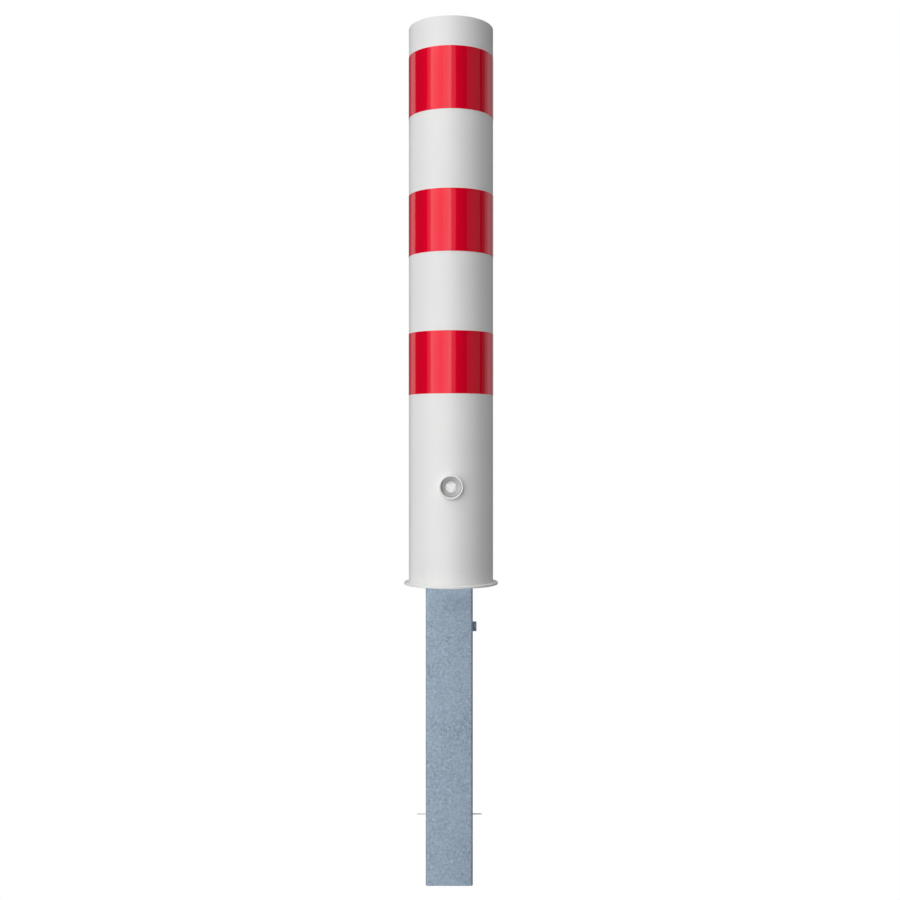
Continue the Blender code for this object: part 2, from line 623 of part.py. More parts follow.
def make_locking_pin(coats):
    """The sliding pin, with the cross pin and clip that tie it to the lever."""
    head_back = PIN_REST_X - PIN_HEAD_LENGTH / 2
    head_front = PIN_REST_X + PIN_HEAD_LENGTH / 2
    centre = (0, 0, -PIN_DEPTH)
    profile = [
        (0, head_back),
        (PIN_HEAD_RADIUS, head_back),
        (PIN_HEAD_RADIUS, head_front),
        (PIN_RADIUS, head_front),
        (PIN_RADIUS, PIN_TIP - PIN_TIP_BEVEL),
        (PIN_RADIUS - PIN_TIP_BEVEL, PIN_TIP),
        (0, PIN_TIP),
    ]
    pin = turned("locking_pin", profile, coats["bare_steel"], "X", centre)
    cross = (PIN_REST_X, 0, -PIN_DEPTH)
    reach = 2 * PIN_HEAD_RADIUS
    flats = []
    for name, near in (("front", -PIN_HEAD_HALF_WIDTH), ("rear", PIN_HEAD_HALF_WIDTH)):
        y_ends = sorted((near, math.copysign(reach, near)))
        low = (head_back - CUT_MARGIN, y_ends[0], -PIN_DEPTH - reach)
        high = (head_front, y_ends[1], -PIN_DEPTH + reach)
        flats.append(box_cutter(f"cut_pin_flat_{name}", low, high))
    bore = DRIVE_PIN_RADIUS + HOLE_PLAY
    cut(pin, *flats, hole("cut_cross_hole", bore, -reach, reach, "Y", cross))

    head = PIN_HEAD_HALF_WIDTH + TOUCH
    clip_back = LEVER_FRONT - TOUCH
    clip_front = clip_back - CLIP_THICKNESS
    drive = [
        (0, clip_front - DRIVE_PIN_END),
        (DRIVE_PIN_RADIUS, clip_front - DRIVE_PIN_END),
        (DRIVE_PIN_RADIUS, head),
        (DRIVE_PIN_RADIUS + DRIVE_PIN_HEAD, head),
        (DRIVE_PIN_RADIUS + DRIVE_PIN_HEAD, head + DRIVE_PIN_HEAD),
        (0, head + DRIVE_PIN_HEAD),
    ]
    turned("drive_pin", drive, coats["zinc_fastener"], "Y", cross)
    clip_bore = DRIVE_PIN_RADIUS + RUN_PLAY
    clip = ring_profile(clip_bore, clip_bore + CLIP_WIDTH, clip_front, clip_back)
    turned("drive_pin_clip", clip, coats["bare_steel"], "Y", cross)


def clear_scene():
    for obj in list(bpy.data.objects):
        bpy.data.objects.remove(obj)


def main():
    clear_scene()
    coats = make_materials()
    for make in (
        make_ground_sleeve,
        make_keeper,
        make_bollard_tube,
        make_cap,
        make_flange,
        make_centring_plate,
        make_bands,
        make_lock_collar,
        make_inner_post,
        make_spindle_bush,
        make_pin_guide,
        make_pivot,
        make_spindle,
        make_crank,
        make_lever,
        make_locking_pin,
    ):
        make(coats)


main()
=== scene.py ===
"""Looks of the removable steel safety bollard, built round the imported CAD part.

Units are metres and +Z is up. The ground line is z = 0, the lock faces -Y, and azimuths are
measured from -Y towards +X.
"""

import math

import bmesh
import bpy
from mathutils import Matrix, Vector, noise


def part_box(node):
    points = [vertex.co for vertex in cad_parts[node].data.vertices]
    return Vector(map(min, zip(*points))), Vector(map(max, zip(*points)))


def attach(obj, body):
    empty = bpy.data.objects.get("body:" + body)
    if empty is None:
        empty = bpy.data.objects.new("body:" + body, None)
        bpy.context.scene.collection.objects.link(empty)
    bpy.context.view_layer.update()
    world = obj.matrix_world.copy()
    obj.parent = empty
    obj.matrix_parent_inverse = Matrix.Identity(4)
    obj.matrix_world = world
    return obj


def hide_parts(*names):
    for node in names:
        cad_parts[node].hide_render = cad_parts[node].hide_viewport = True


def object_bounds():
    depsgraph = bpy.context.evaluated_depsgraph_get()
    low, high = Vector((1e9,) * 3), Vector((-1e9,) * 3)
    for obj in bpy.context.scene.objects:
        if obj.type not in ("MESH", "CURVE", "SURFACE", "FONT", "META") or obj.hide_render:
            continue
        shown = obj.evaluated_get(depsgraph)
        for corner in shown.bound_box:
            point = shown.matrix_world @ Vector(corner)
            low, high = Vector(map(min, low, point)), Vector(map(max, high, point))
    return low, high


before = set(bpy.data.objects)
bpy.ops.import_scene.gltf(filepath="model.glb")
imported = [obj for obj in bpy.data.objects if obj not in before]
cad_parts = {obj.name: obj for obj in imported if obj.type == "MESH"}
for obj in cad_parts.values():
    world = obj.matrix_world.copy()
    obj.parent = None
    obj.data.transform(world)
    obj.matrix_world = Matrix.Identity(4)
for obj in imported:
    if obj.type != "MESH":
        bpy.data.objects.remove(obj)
cad_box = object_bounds()


# ---- sizes and places, read from the CAD where its boxes give them -----------------------------------
def half_size(node):
    low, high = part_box(node)
    return (high - low) / 2


def middle(node):
    low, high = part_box(node)
    return (low + high) / 2


LOCK_HEIGHT = middle("lock_collar").z
PIN_HEIGHT = middle("pin_keeper").z
PIVOT_HEIGHT = middle("pivot_bolt").z
ANCHOR_HEIGHT = middle("anchor_pin").z
WELD_GAP = 0.0003  # between pieces that are welded together
WELD_LIFT = 0.0001  # how far a bead's middle line stands off the surface it lies on

# bollard shell
TUBE_RADIUS = half_size("bollard_tube").x
TUBE_WALL = 0.0032
TUBE_INSIDE = TUBE_RADIUS - TUBE_WALL
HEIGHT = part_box("bollard_tube")[1].z
RIM_ROUNDING = 0.0010
CAP_THICKNESS = 0.004
CAP_SUNK = 0.0018
CAP_DOME = 0.0015
FLANGE_RADIUS = half_size("base_flange").x
FLANGE_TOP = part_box("base_flange")[1].z
COLLAR_RADIUS = half_size("lock_collar").x
COLLAR_WALL = 0.003
COLLAR_INSIDE = COLLAR_RADIUS - COLLAR_WALL
COLLAR_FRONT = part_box("lock_collar")[0].y
COLLAR_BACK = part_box("lock_collar")[1].y
CAP_WELD_RADIUS = 0.0013
FLANGE_WELD_RADIUS = 0.0007
COLLAR_WELD_RADIUS = 0.0005
KEEPER_WELD_RADIUS = 0.0006

# reflective film
FILM_INNER = 0.07606
FILM_THICKNESS = 0.0003
FILM_OVERLAP_DEG = 7.0
FILM_SEAM_DEG = 168.0
FILM_STEP_DEG = 0.8  # the overlapping end climbs onto the film below within this angle
FILM_GLUE = 0.00003

# lock spindle and the body it turns in: radii, and places along Y
SHANK_RADIUS = half_size("lock_spindle").x
SHANK_BACK = -0.0415
TRIANGLE_INRADIUS = 0.0064
TRIANGLE_LENGTH = 0.0035
GROOVE_WIDTH = 0.0012
GROOVE_DEPTH = 0.0020
JOURNAL_RADIUS = 0.008
SQUARE_HALF = 0.005
SQUARE_REACH = 0.00675
SQUARE_FRONT = -0.0255
SQUARE_BACK = -0.0205
THREAD_RADIUS = 0.004
SHANK_BORE = 0.0102
JOURNAL_BORE = 0.0082
WASHER_SEAT = -0.0398
LOCK_BODY_RADIUS = half_size("spindle_bush").x
LOCK_BODY_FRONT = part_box("spindle_bush")[0].y
LOCK_BODY_BACK = -0.0353
BUSH_RADIUS = 0.0117
BUSH_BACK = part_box("spindle_bush")[1].y
FAR_OUT = 0.03  # past every point of the spindle

# sleeve, keeper, rod and inner post
SLEEVE_HALF = half_size("ground_sleeve").x
SLEEVE_X = middle("ground_sleeve").x
SLEEVE_WALL = 0.0032
SLEEVE_CORNER = 0.004
SLEEVE_PIN_HOLE = 0.0065
KEEPER_FLATS = 2 * half_size("pin_keeper").z
KEEPER_BORE = 0.0058
KEEPER_CHAMFER = 0.0006
ANCHOR_RADIUS = half_size("anchor_pin").z
POST_HALF = half_size("inner_post").x
POST_WALL = 0.003
POST_CORNER = 0.005
POST_SPINDLE_HOLE = 0.012
POST_PIVOT_HOLE = 0.0053
POST_PIN_HOLE = 0.0069

# ends of the bars that cut holes in the square tubes and the keeper
IN_HOLLOW = 0.03  # between the walls
IN_OPEN = 0.06  # outside them

ROUND_SEGMENTS = 256
COLLAR_SEGMENTS = 128
MEDIUM_SEGMENTS = 96
HOLE_SEGMENTS = 48
SMALL_SEGMENTS = 24


# ---- node helpers -----------------------------------------------------------------------------------
class Finish:
    """A Principled material and short calls that add procedural nodes to it."""

    def __init__(self, name, roughness, metallic=0.0, **fixed):
        self.material = bpy.data.materials.new(name)
        self.material.use_nodes = True
        self.tree = self.material.node_tree
        self.shader = self.tree.nodes["Principled BSDF"]
        self.shader.inputs["Roughness"].default_value = roughness
        self.shader.inputs["Metallic"].default_value = metallic
        for socket, value in fixed.items():
            self.shader.inputs[socket.replace("_", " ")].default_value = value
        self.place = self.tree.nodes.new("ShaderNodeTexCoord").outputs["Object"]

    def node(self, kind, inputs=None, **settings):
        made = self.tree.nodes.new(kind)
        for key, value in settings.items():
            setattr(made, key, value)
        for key, value in (inputs or {}).items():
            if isinstance(value, bpy.types.NodeSocket):
                self.tree.links.new(value, made.inputs[key])
            else:
                made.inputs[key].default_value = value
        return made

    def stretched(self, factors):
        """Object coordinates scaled by a factor for each axis."""
        return self.node("ShaderNodeMapping", {"Vector": self.place, "Scale": factors}).outputs[0]

    def leaning(self, across, length, lean_deg, axis="Y"):
        """Coordinates for fine marks that lean from upright about an axis, sized in metres."""
        turn = [0.0, 0.0, 0.0]
        turn["XYZ".index(axis)] = math.radians(lean_deg)
        inputs = {"Vector": self.place, "Rotation": turn, "Scale": (across, across, length)}
        return self.node("ShaderNodeMapping", inputs, vector_type="TEXTURE").outputs[0]

    def noise(self, scale, detail=2.0, roughness=0.5, place=None):
        inputs = {"Vector": place or self.place, "Scale": scale, "Detail": detail, "Roughness": roughness}
        return self.node("ShaderNodeTexNoise", inputs).outputs["Fac"]

    def cells(self, scale, output="Distance"):
        return self.node("ShaderNodeTexVoronoi", {"Vector": self.place, "Scale": scale}).outputs[output]

    def fit(self, value, low, high, to_low=0.0, to_high=1.0):
        """Maps low..high to to_low..to_high, clamped."""
        inputs = {"Value": value, 1: low, 2: high, 3: to_low, 4: to_high}
        return self.node("ShaderNodeMapRange", inputs, clamp=True).outputs[0]

    def sum(self, a, b, operation="ADD"):
        return self.node("ShaderNodeMath", {0: a, 1: b}, operation=operation).outputs[0]

    def blend(self, share, a, b, mode="MIX"):
        """Colour a where share is 0, and b, or b blended onto a by the mode, where share is 1."""
        made = self.node("ShaderNodeMix", data_type="RGBA", blend_type=mode)
        for index, value in ((0, share), (6, a), (7, b)):
            if isinstance(value, bpy.types.NodeSocket):
                self.tree.links.new(value, made.inputs[index])
            else:
                made.inputs[index].default_value = value
        return made.outputs[2]

    def height(self):
        """The object's own Z coordinate."""
        return self.node("ShaderNodeSeparateXYZ", {0: self.place}).outputs[2]

    def bump(self, value, distance, strength, normal=None):
        inputs = {"Height": value, "Distance": distance, "Strength": strength}
        if normal:
            inputs["Normal"] = normal
        return self.node("ShaderNodeBump", inputs).outputs[0]

    def wire(self, **sockets):
        for name, value in sockets.items():
            self.tree.links.new(value, self.shader.inputs[name.replace("_", " ")])
        return self.material


PALE_GAIN = 1.45  # how much brighter scratches and bright grains are than the light tone


def pale(colour):
    return (*(min(1.0, channel * PALE_GAIN) for channel in colour[:3]), 1.0)


# ---- materials --------------------------------------------------------------------------------------
def white_powder_coat(name, clean, cloudy):
    """Satin white powder coat: orange peel, faint scuffs and dust, a few fine nibs, splashes low down."""
    f = Finish(name, 0.42, IOR=1.5)
    tone = f.fit(f.noise(9, 3, 0.6), 0.35, 0.68)
    colour = f.blend(tone, clean, cloudy)
    dust = f.fit(f.noise(220, 4, 0.7), 0.66, 0.80, 0.0, 0.30)
    colour = f.blend(dust, colour, (0.66, 0.65, 0.62, 1.0))
    scuffs = f.fit(f.noise(1, 6, 0.72, f.stretched((160, 160, 28))), 0.70, 0.78, 0.0, 0.22)
    colour = f.blend(scuffs, colour, (0.60, 0.60, 0.60, 1.0))
    splash = f.fit(f.height(), 0.004, 0.075, 1.0, 0.0)
    grime = f.sum(splash, f.fit(f.noise(60, 5, 0.65), 0.40, 0.75), "MULTIPLY")
    colour = f.blend(f.sum(grime, 0.09, "MULTIPLY"), colour, (0.47, 0.44, 0.40, 1.0))
    peel = f.noise(520, 2, 0.45)
    nibs = f.fit(f.cells(330), 0.0, 0.10, 1.0, 0.0)
    rough = f.fit(f.noise(35, 4, 0.6), 0.3, 0.7, 0.38, 0.47)
    normal = f.bump(nibs, 0.00003, 0.5, f.bump(peel, 0.00006, 0.55))
    return f.wire(Base_Color=colour, Roughness=rough, Normal=normal)


def red_film():
    """Glossy red retroreflective film: glass beads under a clear face, laid down slightly wavy."""
    coat = {"Coat_Weight": 1.0, "Coat_Roughness": 0.06}
    f = Finish("red_retroreflective_film", 0.5, 0.32, Specular_IOR_Level=0.0, **coat)
    around = f.stretched((1.0, 1.0, 0.35))
    deep = (0.825, 0.0005, 0.024, 1.0)
    bright = (0.895, 0.0008, 0.032, 1.0)
    beads = f.fit(f.cells(1500), 0.15, 0.75)
    colour = f.blend(beads, bright, deep)
    colour = f.blend(f.fit(f.noise(14, 3, 0.6), 0.35, 0.7, 0.0, 0.5), colour, (0.775, 0.0005, 0.021, 1.0))
    specks = f.fit(f.noise(700, 3, 0.7), 0.74, 0.82, 0.0, 0.5)
    colour = f.blend(specks, colour, (0.35, 0.001, 0.010, 1.0))
    wavy = f.noise(26, 3, 0.55, around)
    fine = f.noise(900, 2, 0.5)
    normal = f.bump(fine, 0.00001, 0.5)
    clear_face = f.bump(wavy, 0.0009, 0.25)
    rough = f.fit(f.noise(90, 4, 0.6), 0.3, 0.7, 0.44, 0.54)
    return f.wire(Base_Color=colour, Roughness=rough, Normal=normal, Coat_Normal=clear_face)


PAINTED_LIGHT_DEPTH = 0.040  # how far down from the ground line the sleeve is painted lighter, painted light against the flange's shadow


def galvanised(name, light, dark, speck, grain=1.0, metallic=0.35, painted_light_top=0.0):
    """Weathered hot-dip galvanising: soft spangle, dark blotches and pores, and short light scratches.

    A higher grain makes the spangle, blotches and pores finer. The top lightening argument brightens the
    last stretch up to the ground line with painted light, which offsets the shade the flange casts there.
    """
    f = Finish(name, 0.55, metallic)
    spangle = f.node("ShaderNodeSeparateColor", {0: f.cells(170 * grain, "Color")}).outputs[0]
    cloud = f.noise(14 * grain, 3, 0.55)
    fine = f.fit(f.noise(270 * grain, 3, 0.7), 0.30, 0.70, -0.44, 0.44)
    tone = f.sum(f.sum(spangle, 0.20, "MULTIPLY"), f.fit(cloud, 0.30, 0.70, 0.42, 0.72))
    colour = f.blend(f.sum(tone, fine), dark, light)
    blotch = f.fit(f.noise(140 * grain, 3, 0.6), 0.50, 0.64)
    patch = f.fit(f.noise(34 * grain, 2, 0.5), 0.38, 0.62, 0.2, 1.0)
    colour = f.blend(f.sum(f.sum(blotch, patch, "MULTIPLY"), 0.65, "MULTIPLY"), colour, dark)
    pores = f.fit(f.noise(260 * grain, 3, 0.7), 0.58, 0.68)
    colour = f.blend(f.sum(f.sum(pores, patch, "MULTIPLY"), 0.75, "MULTIPLY"), colour, speck)
    bright = f.fit(f.noise(190 * grain, 4, 0.7), 0.55, 0.70)
    colour = f.blend(f.sum(bright, 0.60, "MULTIPLY"), colour, pale(light))
    scratches = None
    for lean, axis, threshold in ((38, "Y", 0.70), (-44, "Y", 0.71), (40, "X", 0.70)):
        line = f.fit(f.noise(1, 2, 0.5, f.leaning(0.0011, 0.013, lean, axis)), threshold, threshold + 0.06)
        scratches = f.sum(scratches, line, "MAXIMUM") if scratches else line
    colour = f.blend(f.sum(scratches, 0.50, "MULTIPLY"), colour, pale(light))
    # painted light: the sleeve's colour is brightened towards the ground line to offset the flange's shadow
    if painted_light_top:
        painted_light = f.fit(f.height(), -PAINTED_LIGHT_DEPTH, 0.0)
        painted_light = f.sum(f.sum(painted_light, painted_light, "MULTIPLY"), painted_light_top, "MULTIPLY")
        colour = f.blend(painted_light, colour, colour, "ADD")
    rough = f.fit(f.sum(cloud, f.sum(spangle, 0.3, "MULTIPLY")), 0.3, 1.0, 0.46, 0.62)
    pits = f.bump(f.noise(620, 4, 0.7), 0.00006, 0.5)
    normal = f.bump(f.noise(60 * grain, 3, 0.6), 0.0003, 0.25, pits)
    return f.wire(Base_Color=colour, Roughness=rough, Normal=normal)


def zinc_plate():
    """Bright zinc plate with a faint iridescent cast, grey stains and turned marks."""
    f = Finish("zinc_plate", 0.30, 1.0)
    tint = f.fit(f.noise(120, 3, 0.6), 0.35, 0.65)
    colour = f.blend(tint, (0.60, 0.62, 0.66, 1.0), (0.66, 0.63, 0.54, 1.0))
    stains = f.fit(f.noise(400, 5, 0.75), 0.58, 0.74, 0.0, 0.5)
    colour = f.blend(stains, colour, (0.33, 0.33, 0.33, 1.0))
    marks = f.noise(1, 2, 0.5, f.stretched((2500, 260, 2500)))
    rough = f.fit(f.noise(240, 4, 0.65), 0.3, 0.7, 0.24, 0.42)
    return f.wire(Base_Color=colour, Roughness=rough, Normal=f.bump(marks, 0.00002, 0.4))


def bare_steel():
    """Turned steel, slightly uneven in tone, with a few brown stains."""
    f = Finish("bare_steel", 0.34, 1.0)
    colour = f.blend(f.fit(f.noise(90, 4, 0.6), 0.3, 0.7), (0.46, 0.46, 0.47, 1.0), (0.36, 0.36, 0.37, 1.0))
    rust = f.fit(f.noise(260, 6, 0.75), 0.60, 0.70, 0.0, 0.6)
    colour = f.blend(rust, colour, (0.24, 0.14, 0.08, 1.0))
    marks = f.noise(1, 2, 0.5, f.stretched((260, 2600, 2600)))
    rough = f.fit(f.noise(300, 4, 0.65), 0.3, 0.7, 0.24, 0.50)
    return f.wire(Base_Color=colour, Roughness=rough, Normal=f.bump(marks, 0.00003, 0.5))


def bronze():
    """Sintered bearing bronze, full of fine oil pores."""
    f = Finish("sintered_bronze", 0.42, 1.0)
    colour = f.blend(f.fit(f.noise(150, 4, 0.6), 0.3, 0.7), (0.62, 0.40, 0.18, 1.0), (0.44, 0.27, 0.12, 1.0))
    pores = f.fit(f.cells(2200), 0.0, 0.28, 1.0, 0.0)
    colour = f.blend(f.sum(pores, 0.7, "MULTIPLY"), colour, (0.12, 0.07, 0.04, 1.0))
    rough = f.fit(pores, 0.0, 1.0, 0.36, 0.60)
    return f.wire(Base_Color=colour, Roughness=rough, Normal=f.bump(pores, -0.00003, 0.6))


WHITE = white_powder_coat("white_powder_coat", (0.81, 0.815, 0.805, 1.0), (0.785, 0.79, 0.785, 1.0))
# painted light: a brighter copy of the white coat for the spindle, offsetting the shade in the lock recess
LOCK_WHITE_PAINTED_LIGHT = white_powder_coat("white_lock_paint_painted_light", (0.93, 0.935, 0.925, 1.0), (0.90, 0.905, 0.90, 1.0))
RED = red_film()
SLEEVE_ZINC = galvanised(
    "galvanised_sleeve",
    (0.389, 0.485, 0.592, 1.0),
    (0.222, 0.296, 0.381, 1.0),
    (0.07, 0.105, 0.15, 1.0),
    # painted light on the sleeve's top, offsetting the flange's shadow
    painted_light_top=0.75,
)
POST_ZINC = galvanised(
    "galvanised_post", (0.50, 0.53, 0.56, 1.0), (0.36, 0.39, 0.42, 1.0), (0.16, 0.18, 0.20, 1.0), 0.8
)
# painted light: the keeper's zinc is lighter and less metallic than the sleeve's, standing in for light the
# sleeve's corner keeps off it
KEEPER_ZINC_PAINTED_LIGHT = galvanised(
    "galvanised_keeper_painted_light", (0.50, 0.63, 0.76, 1.0), (0.37, 0.48, 0.58, 1.0), (0.17, 0.22, 0.28, 1.0), 2.0, 0.05
)
ROD_ZINC = galvanised(
    "galvanised_rod", (0.72, 0.73, 0.74, 1.0), (0.56, 0.57, 0.58, 1.0), (0.34, 0.34, 0.35, 1.0), 2.5, 0.1
)
FASTENER = zinc_plate()
STEEL = bare_steel()
BRONZE = bronze()


# ---- mesh helpers -----------------------------------------------------------------------------------
SHARP_DEG = 35


def piece(name, bm, finish, body, stands_for=()):
    """Makes a shown piece of a bmesh that is in the shared frame, riding on a CAD body."""
    bmesh.ops.recalc_face_normals(bm, faces=bm.faces)
    mesh = bpy.data.meshes.new(name)
    bm.to_mesh(mesh)
    bm.free()
    mesh.shade_smooth()
    mesh.set_sharp_from_angle(angle=math.radians(SHARP_DEG))
    mesh.materials.append(finish)
    made = bpy.data.objects.new(name, mesh)
    bpy.context.scene.collection.objects.link(made)
    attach(made, body)
    if stands_for:
        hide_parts(*stands_for)
    return made


def along(axis, radial_a, radial_b, height):
    """Point whose height runs along the named axis."""
    if axis == "X":
        return (height, radial_a, radial_b)
    if axis == "Y":
        return (radial_a, height, radial_b)
    return (radial_a, radial_b, height)


def lathe(profile, segments, axis="Z", centre=(0, 0, 0)):
    """Turns a profile of (radius, height) points. It is a closed loop unless both ends lie on the axis."""
    bm = bmesh.new()
    origin = Vector(centre)
    rings = []
    for radius, height in profile:
        if radius == 0:
            rings.append([bm.verts.new(origin + Vector(along(axis, 0, 0, height)))])
            continue
        ring = []
        for i in range(segments):
            turn = 2 * math.pi * i / segments
            point = along(axis, radius * math.cos(turn), radius * math.sin(turn), height)
            ring.append(bm.verts.new(origin + Vector(point)))
        rings.append(ring)
    pairs = list(zip(rings, rings[1:]))
    if len(rings[0]) > 1 or len(rings[-1]) > 1:
        pairs.append((rings[-1], rings[0]))
    for a, b in pairs:
        for i in range(segments):
            j = (i + 1) % segments
            corners = [a[i % len(a)], a[j % len(a)], b[j % len(b)], b[i % len(b)]]
            unique = list(dict.fromkeys(corners))
            if len(unique) > 2:
                bm.faces.new(unique)
    return bm


def round_corner(centre, radius, start_deg, end_deg, steps=6):
    """Points of an arc in a profile."""
    turns = [math.radians(start_deg + (end_deg - start_deg) * i / steps) for i in range(steps + 1)]
    return [(centre[0] + radius * math.cos(t), centre[1] + radius * math.sin(t)) for t in turns]


def bar(radius, start, end, segments, axis, centre):
    """A plain round bar between two places along its axis."""
    profile = [(0, start), (radius, start), (radius, end), (0, end)]
    return lathe(profile, segments, axis, centre)


def rounded_square(half, corner, steps=10):
    """Outline of a square with rounded corners."""
    outline = []
    for turn, (sx, sy) in enumerate(((1, 1), (-1, 1), (-1, -1), (1, -1))):
        bend = (sx * (half - corner), sy * (half - corner))
        outline += round_corner(bend, corner, 90 * turn, 90 * turn + 90, steps)
    return outline


def square_tube(half, wall, corner, low, high, rings, centre_x=0.0):
    """Square tube with rounded long edges, small chamfers on its cut ends and rings of points between."""
    bm = bmesh.new()
    edge = 0.0005
    least_corner = 0.0012
    inner_corner = max(corner - wall, least_corner)
    outer = [(low, edge), (low + edge, 0)]
    outer += [(low + edge + (high - low - 2 * edge) * i / rings, 0) for i in range(1, rings)]
    outer += [(high - edge, 0), (high, edge)]
    loops = []
    for height, inset in outer:
        outline = rounded_square(half - inset, corner - inset / 2)
        loops.append([bm.verts.new((x + centre_x, y, height)) for x, y in outline])
    for height, inset in ((high, edge), (high - edge, 0), (low + edge, 0), (low, edge)):
        outline = rounded_square(half - wall + inset, inner_corner + inset / 2)
        loops.append([bm.verts.new((x + centre_x, y, height)) for x, y in outline])
    for a, b in zip(loops, loops[1:] + loops[:1]):
        for i in range(len(a)):
            j = (i + 1) % len(a)
            bm.faces.new((a[i], a[j], b[j], b[i]))
    return bm


BEAD_SIDES = 10
BEAD_PITCH = 0.0035
BEAD_WANDER = 0.16
WANDER_SCALE = 180


def bead(points, outward, radius, seed, ripple=0.10):
    """Weld bead along a closed path: a rippled round rod whose size wanders a little."""
    bm = bmesh.new()
    count = len(points)
    length = sum((Vector(points[i]) - Vector(points[i - 1])).length for i in range(count))
    ripples = max(8, round(length / BEAD_PITCH))
    rings = []
    for i, (point, out) in enumerate(zip(points, outward)):
        tangent = (Vector(points[(i + 1) % count]) - Vector(points[i - 1])).normalized()
        out = Vector(out).normalized()
        side = tangent.cross(out).normalized()
        share = i / count
        wander = noise.noise(Vector(point) * WANDER_SCALE + Vector((seed, 0, 0)))
        size = radius * (1 + ripple * math.sin(2 * math.pi * ripples * share) + BEAD_WANDER * wander)
        ring = []
        for k in range(BEAD_SIDES):
            turn = 2 * math.pi * k / BEAD_SIDES
            offset = out * math.cos(turn) * size + side * math.sin(turn) * size
            ring.append(bm.verts.new(Vector(point) + offset))
        rings.append(ring)
    for a, b in zip(rings, rings[1:] + rings[:1]):
        for k in range(BEAD_SIDES):
            m = (k + 1) % BEAD_SIDES
            bm.faces.new((a[k], a[m], b[m], b[k]))
    return bm


def hexagon(flats):
    """Outline of a hexagon, given its width across flats."""
    radius = flats / 2 / math.cos(math.pi / 6)
    turns = [2 * math.pi * i / 6 for i in range(6)]
    return [(radius * math.cos(t), radius * math.sin(t)) for t in turns]


def cut(target, *cutters):
    """Cuts with hidden solids now, so that nothing of them is left in the scene."""
    for solid in cutters:
        boolean = target.modifiers.new("cut", "BOOLEAN")
        boolean.operation = "DIFFERENCE"
        boolean.solver = "EXACT"
        boolean.object = solid
    bpy.context.view_layer.update()
    evaluated = target.evaluated_get(bpy.context.evaluated_depsgraph_get())
    cut_mesh = bpy.data.meshes.new_from_object(evaluated)
    target.modifiers.clear()
    target.data = cut_mesh
    for solid in cutters:
        bpy.data.objects.remove(solid)


def cutter(bm):
    """Makes a bmesh into a solid for cut."""
    bmesh.ops.recalc_face_normals(bm, faces=bm.faces)
    mesh = bpy.data.meshes.new("cutter")
    bm.to_mesh(mesh)
    bm.free()
    made = bpy.data.objects.new("cutter", mesh)
    bpy.context.scene.collection.objects.link(made)
    return made


def prism(outline, low, high, axis="Z", centre=(0, 0, 0)):
    """A closed outline drawn out along an axis."""
    bm = bmesh.new()
    origin = Vector(centre)
    ends = []
    for height in (low, high):
        ends.append([bm.verts.new(origin + Vector(along(axis, a, b, height))) for a, b in outline])
    for i in range(len(outline)):
        j = (i + 1) % len(outline)
        bm.faces.new((ends[0][i], ends[0][j], ends[1][j], ends[1][i]))
    bm.faces.new(ends[0])
    bm.faces.new(ends[1])
    return bm


def soften(made, width, segments, limit_deg):
    """Rounds a piece's edges a little."""
    bevel = made.modifiers.new("edges", "BEVEL")
    bevel.width = width
    bevel.segments = segments
    bevel.limit_method = "ANGLE"
    bevel.angle_limit = math.radians(limit_deg)
    bevel.harden_normals = True


def level_circle(radius, height, count=512):
    turns = [2 * math.pi * i / count for i in range(count)]
    return [Vector((radius * math.cos(t), radius * math.sin(t), height)) for t in turns]


# ---- bollard shell ----------------------------------------------------------------------------------
TUBE_RINGS = 24
LOCK_CUT_FRONT = -0.09
LOCK_CUT_BACK = -0.05
ROUND_WALL = 0.97  # faces whose normal is this close to radial belong to the round walls
RIM_FACE = 0.05  # rim faces that look outwards more than this belong to the rounding


def true_tube_normals(mesh):
    """Gives the round walls and the rim's rounding the normals of a true cylinder and a true round."""
    rim = HEIGHT - 2 * RIM_ROUNDING
    normals = []
    for face in mesh.polygons:
        for corner in face.loop_indices:
            vertex = mesh.vertices[mesh.loops[corner].vertex_index]
            radial = Vector((vertex.co.x, vertex.co.y, 0)).normalized()
            side = radial.dot(face.normal)
            if abs(side) > ROUND_WALL and vertex.co.z < rim:
                normals.append(radial * math.copysign(1, side))
            elif vertex.co.z >= rim and side > RIM_FACE:
                lift = (vertex.co.z - (HEIGHT - RIM_ROUNDING)) / RIM_ROUNDING
                turn = math.asin(max(0.0, min(1.0, lift)))
                normals.append(radial * math.cos(turn) + Vector((0, 0, math.sin(turn))))
            else:
                normals.append(face.normal.copy())
    mesh.normals_split_custom_set(normals)


def build_tube():
    low = FLANGE_TOP + WELD_GAP
    outer = [(TUBE_RADIUS, low)]
    outer += [(TUBE_RADIUS, low + (HEIGHT - low) * i / TUBE_RINGS) for i in range(1, TUBE_RINGS)]
    outer += round_corner((TUBE_RADIUS - RIM_ROUNDING, HEIGHT - RIM_ROUNDING), RIM_ROUNDING, 0, 90)
    profile = [(TUBE_INSIDE, low)] + outer + [(TUBE_INSIDE, HEIGHT)]
    bm = lathe(profile, ROUND_SEGMENTS)
    tube = piece("tube_shell", bm, WHITE, "bollard", ["bollard_tube"])
    centre = (0, 0, LOCK_HEIGHT)
    hole = bar(COLLAR_RADIUS + WELD_GAP, LOCK_CUT_FRONT, LOCK_CUT_BACK, MEDIUM_SEGMENTS, "Y", centre)
    cut(tube, cutter(hole))
    true_tube_normals(tube.data)


